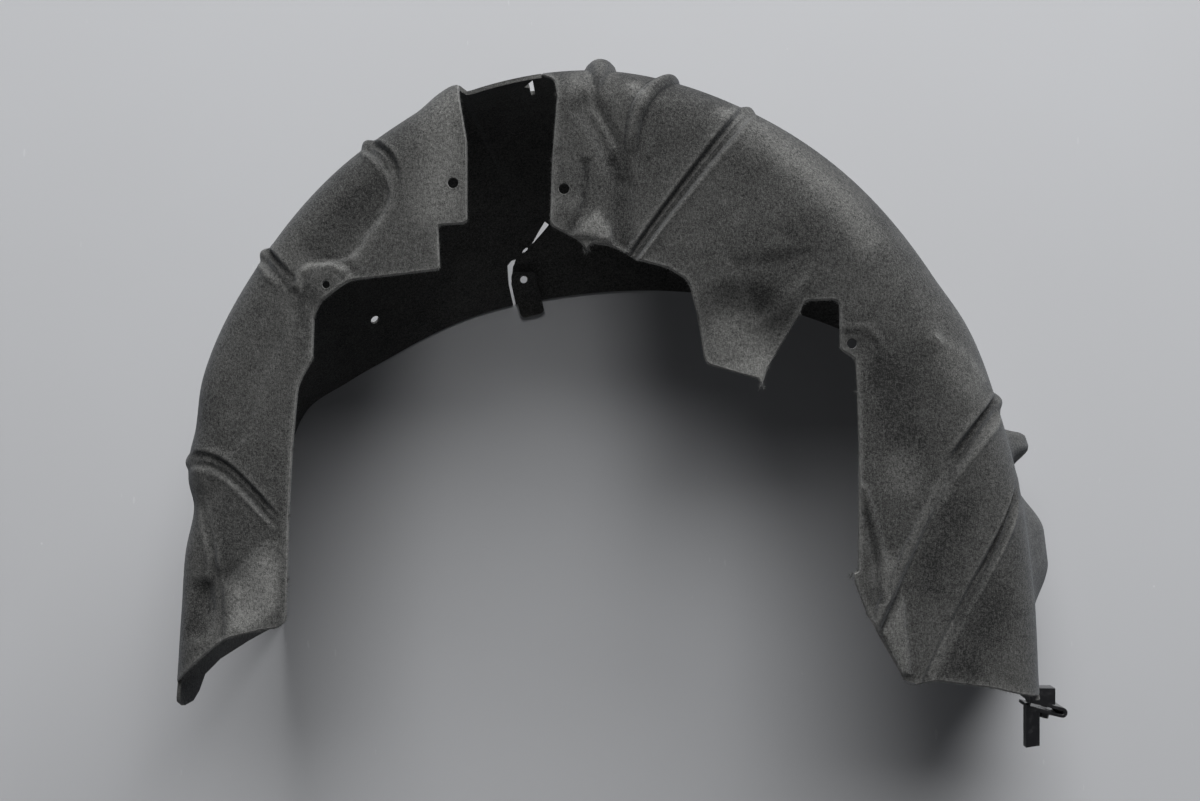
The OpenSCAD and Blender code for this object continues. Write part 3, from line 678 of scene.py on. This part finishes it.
# %% Holes through the band
def band_frame(a, t):
    at = band_point(np.array([a]), np.array([t]))[0]
    left, right = (band_point(np.array([a + s]), np.array([t]))[0] for s in (0.5, -0.5))
    up, down = (band_point(np.array([a]), np.array([t + s]))[0] for s in (0.02, -0.02))
    n = np.cross(left - right, up - down)
    n /= np.linalg.norm(n)
    x = np.cross([0, 0, 1], n)
    x /= np.linalg.norm(x)
    return at, n, x, np.cross(n, x)


at, n, x, y = band_frame(144.2, 0.21)
turns = np.radians(np.arange(40) * 9.0)[:, None]
hole = at + 4.8 * (np.cos(turns) * x + np.sin(turns) * y)
trim(liner, loft("band_hole_cutter", [hole - 20 * n, hole + 20 * n]))

SLOT_A, SLOT_Z, SLOT_W, SLOT_STEM, SLOT_H = 100.0, 176.0, 11.0, 4.0, 38.0
arrow = [(-SLOT_STEM / 2, 0), (SLOT_STEM / 2, 0), (SLOT_STEM / 2, SLOT_H * 0.45),
         (SLOT_W * 0.62, SLOT_H * 0.55), (-SLOT_STEM / 2, SLOT_H)]
out = np.array([*polar(1.0, SLOT_A), 0.0])
sideways = np.array([-out[1], out[0], 0.0])
arrow_3d = np.array([np.array([*CENTRE, SLOT_Z + z]) + sideways * w for w, z in arrow])
trim(liner, loft("slot_cutter", [arrow_3d + out * 250, arrow_3d + out * 480]))

only(liner)
bpy.ops.object.shade_smooth_by_angle(angle=np.radians(38))
triangles = sum(len(p.vertices) - 2 for p in liner.data.polygons)
print("The liner has", triangles, "triangles")

# %% [markdown]
# Needled felt is a mat of grey and black fibres, so its colour changes from one millimetre to the next. Some
# places are paler, in patches and with painted highlights along raised creases, rib lips and the cut, and
# some are darker, in patches and with painted shade in dents, creases, grooves and over the fold at the
# crown. These places are worked out once on the mesh and kept as two values for each of its points, which the
# material reads.

# %% Paler places, painted highlights and painted shade of the felt
def line_mask(p, points, half):
    return crease(p, points, half, 1.0)


def pale_and_highlit(p):
    """How pale the felt is at a place: pale patches, and painted highlights along the raised creases and
    ridges.
    """
    return np.maximum.reduce([
        # thin lines on raised creases and ridges are painted highlights; the other entries are pale patches
        1.3 * panel(p, [(-342, -214), (-325, -216), (-303, -209), (-284, -190), (-282, -140), (-303, -126),
                         (-325, -146), (-344, -168)], 1.0, 16),
        1.0 * panel(p, [(-27, 147), (14, 141), (12, 155), (-2, 176), (-15, 164)], 1.0, 6),
        0.5 * line_mask(p, [(133, 258), (185, 215), (221, 181), (245, 148)], 26),
        0.9 * line_mask(p, [(112, 262), (124, 262)], 11),
        0.9 * line_mask(p, [(30, 286), (40, 276)], 10),
        0.45 * line_mask(p, [(275, -70), (270, -60)], 30),
        0.5 * line_mask(p, [(262, -146), (257, -160)], 16),
        0.75 * line_mask(p, [(118, 66), (146, 36)], 40),
        0.6 * line_mask(p, [(300, 58), (317, 51), (333, 43), (352, 19)], 7),
        0.45 * line_mask(p, [(316, 40), (340, 12)], 20),
        0.75 * line_mask(p, [(-272, 100), (-272, 114), (-263, 122), (-245, 123), (-233, 119), (-225, 112)],
                         5),
        0.35 * line_mask(p, [(-190, 205), (-190, 180), (-200, 160), (-222, 130)], 9),
        0.75 * line_mask(p, [(-138, 262), (-146, 180)], 42),
        0.45 * line_mask(p, [(-357, -86), (-345, -145), (-342, -163)], 3.5),
        0.45 * line_mask(p, [(-364, -99), (-356, -136), (-354, -163)], 3.5),
        0.4 * line_mask(p, [(-20, 290), (0, 300)], 18),
        0.5 * line_mask(p, [(-11, 281), (-7, 263), (4, 245), (11, 231)], 6),
        0.6 * panel(p, [(253, -211), (270, -252), (284, -250), (276, -172)], 1.0, 5),
        0.5 * line_mask(p, [(314, -78), (297, -108), (280, -145), (265, -175)], 8),
        0.45 * line_mask(p, [(318, -204), (301, -247)], 7),
    ])


def painted_shade_and_dark_patches(p):
    """How much darker it is: painted shade in the dents, creases and valley and over the fold at the crown,
    and darker patches.
    """
    a, inset = angle_and_inset(p)
    return np.maximum.reduce([
        # painted shade: the dent near the left toe, the valley and crease beside the notch, the left
        # shoulder's creases; the other entries are darker patches
        0.8 * panel(p, [(-382, -220), (-357, -222), (-345, -188), (-350, -158), (-374, -160)], 1.0, 10),
        0.7 * line_mask(p, [(13, 216), (16, 191), (19, 164), (22, 140)], 13),
        0.6 * line_mask(p, [(-13, 216), (-15, 180), (-20, 167), (-28, 152)], 5),
        0.45 * line_mask(p, [(336, -219), (345, -200)], 34),
        0.5 * line_mask(p, [(-228, 178), (-205, 190)], 34),
        0.35 * line_mask(p, [(-250, 150), (-232, 158)], 34),
        0.4 * line_mask(p, [(160, 128), (150, 92)], 24),
        0.4 * line_mask(p, [(-274, 84), (-271, 50)], 9),
        0.3 * line_mask(p, [(-338, -95), (-340, -140)], 22),
        0.5 * (inset > 40) * line_mask(p, [(-270, 93), (-262, 112), (-250, 131), (-232, 129), (-222, 120)],
                                       7),
        0.45 * line_mask(p, [(150, 205), (190, 160)], 60),
        0.95 * line_mask(p, [(262, 20), (275, -30)], 52),
        0.7 * line_mask(p, [(318, -105), (300, -165)], 34),
        0.9 * line_mask(p, [(352, -185), (332, -238)], 40),
        # painted shade over the fold at the crown
        0.62 * smooth(1 - inset / 60) * np.clip(np.sin(np.radians(a)), 0, 1) ** 2,
    ])


points = np.empty(len(liner.data.vertices) * 3, np.float32)
liner.data.vertices.foreach_get("co", points)
points = points.reshape(-1, 3) / MM + MIDDLE
on_wall = smooth((points[:, 2] - DEPTH + 75) / 40)
sheet_tree = kdtree.KDTree(outer.shape[0] * outer.shape[1])
for i, p in enumerate(outer.reshape(-1, 3)):
    sheet_tree.insert(p, i)
sheet_tree.balance()
nearest = [sheet_tree.find(p)[1] for p in points]
a_of, _ = angle_and_inset(points[:, :2].astype(float))
# the rim of the notch gets full painted shade
notch_rim_shade = (abs(a_of - 102.5) < 7) & (abs(points[:, 2] - 226) < 6)
# the felt is paler along its cut, partly for its frayed fibres and partly as a painted highlight
rim_points = with_steps(outline, 1.0)
rim_tree = kdtree.KDTree(len(rim_points))
for i, p in enumerate(rim_points):
    rim_tree.insert((*p, 0), i)
rim_tree.balance()
to_rim = np.array([rim_tree.find((p[0], p[1], 0))[2] for p in points])
frayed_and_highlit = 0.45 * smooth(1.3 - to_rim / EDGE_PALE) * on_wall
for name, mask, ribs in (("pale_and_highlit", pale_and_highlit, rib_painted_highlight), ("painted_shade_and_dark_patches", painted_shade_and_dark_patches, rib_painted_shade)):
    values = np.maximum(mask(points[:, :2].astype(float)) * on_wall, ribs.reshape(-1)[nearest])
    if name == "painted_shade_and_dark_patches":
        # painted shade along the notch's rim
        values[notch_rim_shade] = 1.0
    else:
        values = np.maximum(values, frayed_and_highlit)
    layer = liner.data.attributes.new(name, "FLOAT", "POINT")
    layer.data.foreach_set("value", values.astype(np.float32))
    print(name, "places cover", round(float((values > 0.2).mean()) * 100, 1), "% of the points")

# %% [markdown]
# A material is written as sums and products of node outputs. The small class below wraps one output, so that
# an expression such as base * (1 - mask) adds the Math nodes by itself, and one method adds any other node.

# %% A socket that can be reckoned with
class Shade:
    def __init__(self, tree, out=None):
        self.tree, self.out = tree, out

    def node(self, kind, settings=None, output=0, **inputs):
        """Adds a node, sets it, joins its inputs by name or number and gives the chosen output."""
        node = self.tree.nodes.new(kind)
        for key, value in (settings or {}).items():
            if key == "stops":
                ramp = node.color_ramp.elements
                for spot, (at, colour) in enumerate(value):
                    stop = ramp[spot] if spot < 2 else ramp.new(at)
                    stop.position, stop.color = at, colour
            else:
                setattr(node, key, value)
        for key, value in inputs.items():
            by_number = key[0] == "i" and key[1:].isdigit()
            socket = node.inputs[int(key[1:]) if by_number else key.replace("_", " ")]
            if isinstance(value, Shade):
                self.tree.links.new(value.out, socket)
            else:
                socket.default_value = value
        return Shade(self.tree, node.outputs[output])

    def maths(self, operation, a, b=None, clamp=False):
        values = {"i0": a} if b is None else {"i0": a, "i1": b}
        return self.node("ShaderNodeMath", {"operation": operation, "use_clamp": clamp}, **values)

    def __add__(self, other):
        return self.maths("ADD", self, other)

    def __mul__(self, other):
        return self.maths("MULTIPLY", self, other)

    def __sub__(self, other):
        return self.maths("SUBTRACT", self, other)

    def __rsub__(self, other):
        return self.maths("SUBTRACT", other, self)

    __radd__, __rmul__ = __add__, __mul__

    def above(self, low, high):
        """From 0 at low to 1 at high."""
        return self.node("ShaderNodeMapRange", {"interpolation_type": "SMOOTHSTEP"}, i0=self, i1=low, i2=high)

    def noise(self, at, scale, detail=2.0, roughness=0.5):
        return self.node("ShaderNodeTexNoise", Vector=at, Scale=scale, Detail=detail, Roughness=roughness)

    def turned(self, at, turn, stretch):
        return self.node("ShaderNodeMapping", Vector=at, Rotation=turn, Scale=stretch)

    def mix(self, factor, a, b):
        return self.node("ShaderNodeMix", {"data_type": "RGBA"}, output=2, i0=factor, i6=a, i7=b)

    def bump(self, height, strength, distance):
        return self.node("ShaderNodeBump", Height=height, Strength=strength, Distance=distance)


def start_material(mat):
    tree = mat.node_tree
    kit = Shade(tree)
    return kit, kit.node("ShaderNodeTexCoord", output=3), tree.nodes["Principled BSDF"]


def wire(shader, **inputs):
    for key, value in inputs.items():
        socket = shader.inputs[key.replace("_", " ")]
        if isinstance(value, Shade):
            value.tree.links.new(value.out, socket)
        else:
            socket.default_value = value


# %% [markdown]
# The felt's tone is a sum of noises: clouds and patches of a few centimetres, tufts of a few millimetres,
# fine grain and pale flecks, and single fibres, which are a noise stretched in three directions. The same
# fibres drive the bump, and a thin pale sheen on the shader stands for the loose hairs that catch light at a
# grazing angle. The wheel side is darker as painted shade, and the cut edges are paler, partly for their cut
# fibres and partly as a painted highlight.

# %% Felt
def felt_colour(mat, dark, pale, lift):
    kit, at, shader = start_material(mat)
    lighter_places = kit.node("ShaderNodeAttribute", {"attribute_name": "pale_and_highlit"}, output=2)
    deep = kit.node("ShaderNodeAttribute", {"attribute_name": "painted_shade_and_dark_patches"}, output=2)
    clouds = kit.noise(at, 11.0, 3.0, 0.6)
    patches = kit.noise(at, 70.0, 3.0, 0.6)
    tufts = kit.noise(at, 400.0, 3.0, 0.65)
    grain = kit.noise(at, 1000.0, 2.0, 0.7)
    fibres = None
    for turn in (0.3, 1.35, 2.5):
        way = kit.turned(at, (0.0, 0.0, turn), (1.0, 0.16, 1.0))
        strand = kit.noise(way, 1100.0, 1.0, 0.5).above(0.58, 0.74)
        fibres = strand if fibres is None else fibres + strand
    flecks = kit.noise(at, 1500.0, 1.0, 0.5).above(0.6, 0.76)
    tone = 0.33 + (clouds - 0.5) * 0.5 + (patches - 0.5) * 0.35 + (tufts - 0.5) * 1.2 + (grain - 0.5) * 1.6
    tone = tone + fibres * 0.16 + flecks * 0.5 + lift
    # the paler places add pale patches and painted highlights, and deep takes off painted shade and darker
    # patches
    tone = tone + lighter_places * (0.72 + (tufts - 0.5) * 1.5 + (grain - 0.5) * 1.5 + fibres * 0.2) - deep * 0.34
    colour = kit.mix(kit.maths("MULTIPLY", tone, 0.5, clamp=True), dark, pale)
    height = tufts * 0.6 + grain * 0.35 + fibres * 0.25
    normal = kit.bump(height, 0.55, 0.0012)
    wire(shader, Base_Color=colour, Roughness=0.96, Normal=normal, Specular_IOR_Level=0.18,
         Sheen_Weight=0.12, Sheen_Roughness=0.5, Sheen_Tint=(0.75, 0.8, 0.88, 1))


felt_colour(felt, (0.015, 0.015, 0.0147, 1), (0.245, 0.245, 0.236, 1), 0.0)
# the cut faces and loose fibres are paler, partly for the cut fibres and partly as a painted highlight
felt_colour(felt_edge, (0.045, 0.045, 0.044, 1), (0.310, 0.310, 0.299, 1), 0.08)
# the wheel side's felt is made darker as painted shade, where the lamps barely reach
felt_colour(felt_in_painted_shade, (0.009, 0.009, 0.0088, 1), (0.150, 0.150, 0.145, 1), -0.05)
print("Felt nodes:", len(felt.node_tree.nodes))

# %% [markdown]
# A knife leaves felt with a soft edge, because cut fibres stand out of it. Each fibre here is a short bent
# curve with a thin section. They are scattered along the cut by a seeded random generator, more of them and
# longer ones at the torn tips, and all are turned into one mesh.

# %% Loose fibres on the cut edges
FIBRES_PER_PLACE = 7
FIBRE_R = 0.085
TORN_TIPS = [((-12.7, 138.3), (0.1, -1.0)), ((229.5, -159.2), (-1.0, -0.3)), ((146.9, 15.0), (0.2, -1.0))]
random.seed(11)
fuzz_curve = bpy.data.curves.new("edge_fuzz", "CURVE")
fuzz_curve.dimensions = "3D"
fuzz_curve.bevel_depth = FIBRE_R * MM
fuzz_curve.bevel_resolution = 0
fuzz_curve.use_fill_caps = True


def fibre(start, way, length):
    """One bent fibre from a place on the cut, thinner towards its end."""
    way = way / np.linalg.norm(way)
    bend = np.array([random.gauss(0, 0.35) for _ in range(3)])
    places = to_part([start, start + way * length * 0.55, start + (way + bend) * length])
    spline = fuzz_curve.splines.new("POLY")
    spline.points.add(2)
    for point, place, radius in zip(spline.points, places, (1.0, 0.8, 0.3)):
        point.co = (*place.tolist(), 1.0)
        point.radius = radius


def cut_place(i):
    """A random place on the cut near one point of its line, and the ways into the opening and along it."""
    along_cut = wall_outline[i + 1] - wall_outline[i]
    spot = wall_outline[i] + along_cut * random.random()
    into = -cut_outward[i]
    height = felt_height(spot) - random.uniform(0.3, FELT - 0.2)
    return np.array([*(spot - into * 0.5), height]), np.array([*into, 0.0]), np.array([*along_cut, 0.0])


cut_outward = outward(wall_outline)
_, cut_inset = angle_and_inset(felt_line)
for i in np.flatnonzero(cut_inset[:-1] > 12):
    for _ in range(FIBRES_PER_PLACE):
        start, into, side = cut_place(int(i))
        side = side / max(np.linalg.norm(side), 0.1)
        way = into * random.uniform(0.3, 1.0) + side * random.gauss(0, 0.6) + [0, 0, random.gauss(0.2, 0.4)]
        fibre(start, way, random.uniform(0.9, 2.6))
for tip_at, tip_way in TORN_TIPS:
    for _ in range(46):
        spot = np.array(tip_at) + [random.gauss(0, 1.6), random.gauss(0, 1.6)]
        way = np.array([tip_way[0] + random.gauss(0, 0.5), tip_way[1] + random.gauss(0, 0.5),
                        random.gauss(0, 0.3)])
        fibre(np.array([*spot, felt_height(spot) - random.uniform(0.5, 3.0)]), way, random.uniform(1.5, 4.2))
fuzz = bpy.data.objects.new("edge_fuzz", fuzz_curve)
bpy.context.collection.objects.link(fuzz)
only(fuzz)
bpy.ops.object.convert(target="MESH")
fuzz = bpy.context.object
fuzz.data.materials.clear()
fuzz.data.materials.append(felt_edge)
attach(fuzz, "root")
print("Triangles of the fibres:", sum(len(p.vertices) - 2 for p in fuzz.data.polygons))

# %% [markdown]
# The bracket is moulded from shiny black plastic, and its rounded edges catch white highlights. A copy of the
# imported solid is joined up, its flat faces are put together again, and Bevel rounds every sharp edge.

# %% Corner bracket
BRACKET_ROUND = 1.5
bracket = bpy.data.objects.new("bracket_plastic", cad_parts["corner_bracket"].data.copy())
bpy.context.collection.objects.link(bracket)
only(bracket)
bpy.ops.object.mode_set(mode="EDIT")
bpy.ops.mesh.select_all(action="SELECT")
bpy.ops.mesh.remove_doubles(threshold=0.00002)
bpy.ops.mesh.dissolve_limited(angle_limit=np.radians(1))
bpy.ops.object.mode_set(mode="OBJECT")
apply_modifier(bracket, "BEVEL", width=BRACKET_ROUND * MM, segments=3, limit_method="ANGLE",
               angle_limit=np.radians(38), use_clamp_overlap=True)
only(bracket)
bpy.ops.object.shade_smooth_by_angle(angle=np.radians(38))
plastic = new_material("black_plastic_gloss")
kit, at, shader = start_material(plastic)
flow = kit.noise(kit.turned(at, (0.0, 0.0, 0.25), (1.0, 0.35, 1.0)), 90.0, 3.0, 0.6)
dust = kit.noise(at, 700.0, 2.0, 0.6)
smears = kit.noise(at, 160.0, 4.0, 0.65).above(0.5, 0.72)
soiled = smears * 0.5 + dust.above(0.6, 0.75) * 0.4
colour = kit.mix(soiled, (0.009, 0.009, 0.010, 1), (0.045, 0.045, 0.047, 1))
wire(shader, Base_Color=colour, Roughness=0.06 + flow * 0.1 + smears * 0.08,
     Normal=kit.bump(flow * 0.85 + dust * 0.15, 0.5, 0.0014), Specular_IOR_Level=0.9)
bracket.data.materials.clear()
bracket.data.materials.append(plastic)
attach(bracket, "root")
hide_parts("corner_bracket")
print("Triangles of the bracket:", sum(len(p.vertices) - 2 for p in bracket.data.polygons))

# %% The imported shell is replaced
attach(liner, "root")
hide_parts("felt_shell")

# %% [markdown]
# The camera hangs over the table and looks straight down, as the photograph's does, about a metre and a half
# above it. Its lens follows from the size at which the liner appears.

# %% Camera
CAMERA_HEIGHT = 1.5
camera_data = bpy.data.cameras.new("camera")
camera_data.lens = 41.34
camera_data.sensor_width = 36.0
camera = bpy.data.objects.new("camera", camera_data)
bpy.context.collection.objects.link(camera)
camera.location = (-MIDDLE[0] * MM, -MIDDLE[1] * MM, CAMERA_HEIGHT)
bpy.context.scene.camera = camera

# %% [markdown]
# The liner lies on a smooth grey table top with a few specks and hairlines. Two wide soft lamps stand beyond
# the crown, a high one and a low one. Their light falls over the crown and through the notch, so the table is
# bright in the middle of the arch and dark under the walls, and the toes throw short soft shadows. A weak
# third lamp keeps the wheel side from going quite black. For the camera alone, the far table and the
# surroundings turn the same pale grey, so that a view from the side has a plain backdrop.

# %% Table
bpy.ops.object.select_all(action="DESELECT")
bpy.ops.mesh.primitive_plane_add(size=14)
floor = bpy.context.object
floor.name = "table"
table = new_material("grey_table")
kit, at, shader = start_material(table)
haze = kit.noise(at, 2.2, 3.0, 0.5)
dots = kit.node("ShaderNodeTexVoronoi", Vector=at, Scale=16.0)
specks = (1.0 - dots.above(0.012, 0.03)) * kit.noise(at, 7.0, 2.0, 0.5).above(0.5, 0.6)
hairline = kit.noise(kit.turned(at, (0.0, 0.0, 0.7), (1.0, 0.2, 1.0)), 170.0, 1.0, 0.4).above(0.78, 0.82)
marks = kit.maths("MAXIMUM", specks * 0.5, hairline * 0.25)
greys = kit.mix(haze, (0.515, 0.52, 0.535, 1), (0.545, 0.555, 0.575, 1))
colour = kit.mix(marks, greys, (0.72, 0.73, 0.74, 1))
wire(shader, Base_Color=colour, Roughness=0.62 + haze * 0.08, Specular_IOR_Level=0.15,
     Normal=kit.bump(haze + marks, 0.03, 0.001))
# far from the liner the table fades into the backdrop's pale grey, for the camera alone
BACKDROP = (0.50, 0.505, 0.52, 1)
far = kit.node("ShaderNodeVectorMath", {"operation": "LENGTH"}, output=1, i0=at).above(1.0, 3.2)
seen = kit.node("ShaderNodeLightPath")
plain = kit.node("ShaderNodeEmission", Color=BACKDROP, Strength=1.0)
surface = kit.node("ShaderNodeMixShader", i0=far * seen, i1=Shade(kit.tree, shader.outputs["BSDF"]), i2=plain)
kit.tree.links.new(surface.out, kit.tree.nodes["Material Output"].inputs["Surface"])
floor.data.materials.append(table)

# %% Lamps and surroundings
# Name, place, width and height in metres, watts
LAMPS = [("high_lamp", (0.0, 3.3, 3.9), (3.75, 2.9), 180.0),
         ("low_lamp", (1.2, 5.5, 1.9), (5.1, 3.0), 450.0),
         ("wheel_side_lamp", (0.0, -3.2, 0.5), (3.6, 0.8), 12.0)]
for name, lamp_at, (lamp_w, lamp_h), watts in LAMPS:
    lamp_data = bpy.data.lights.new(name, "AREA")
    lamp_data.shape = "RECTANGLE"
    lamp_data.size, lamp_data.size_y = lamp_w, lamp_h
    lamp_data.energy = watts
    lamp = bpy.data.objects.new(name, lamp_data)
    bpy.context.collection.objects.link(lamp)
    lamp.location = lamp_at
    lamp.rotation_euler = (Vector(lamp_at) * -1).to_track_quat("-Z", "Y").to_euler()
    lamp.visible_camera = False
world = bpy.data.worlds.new("studio")
bpy.context.scene.world = world
world.use_nodes = True
sky = Shade(world.node_tree)
seen, in_gloss = sky.node("ShaderNodeLightPath"), sky.node("ShaderNodeLightPath", output=3)
light = sky.node("ShaderNodeBackground", Color=(0.9, 0.93, 1, 1), Strength=in_gloss * 0.06 + 0.04)
plain = sky.node("ShaderNodeBackground", Color=BACKDROP, Strength=1.0)
surface = sky.node("ShaderNodeMixShader", i0=seen, i1=light, i2=plain)
sky.tree.links.new(surface.out, sky.tree.nodes["World Output"].inputs["Surface"])
bpy.context.scene.view_settings.view_transform = "Standard"

print("Nodes:", sorted(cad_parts))
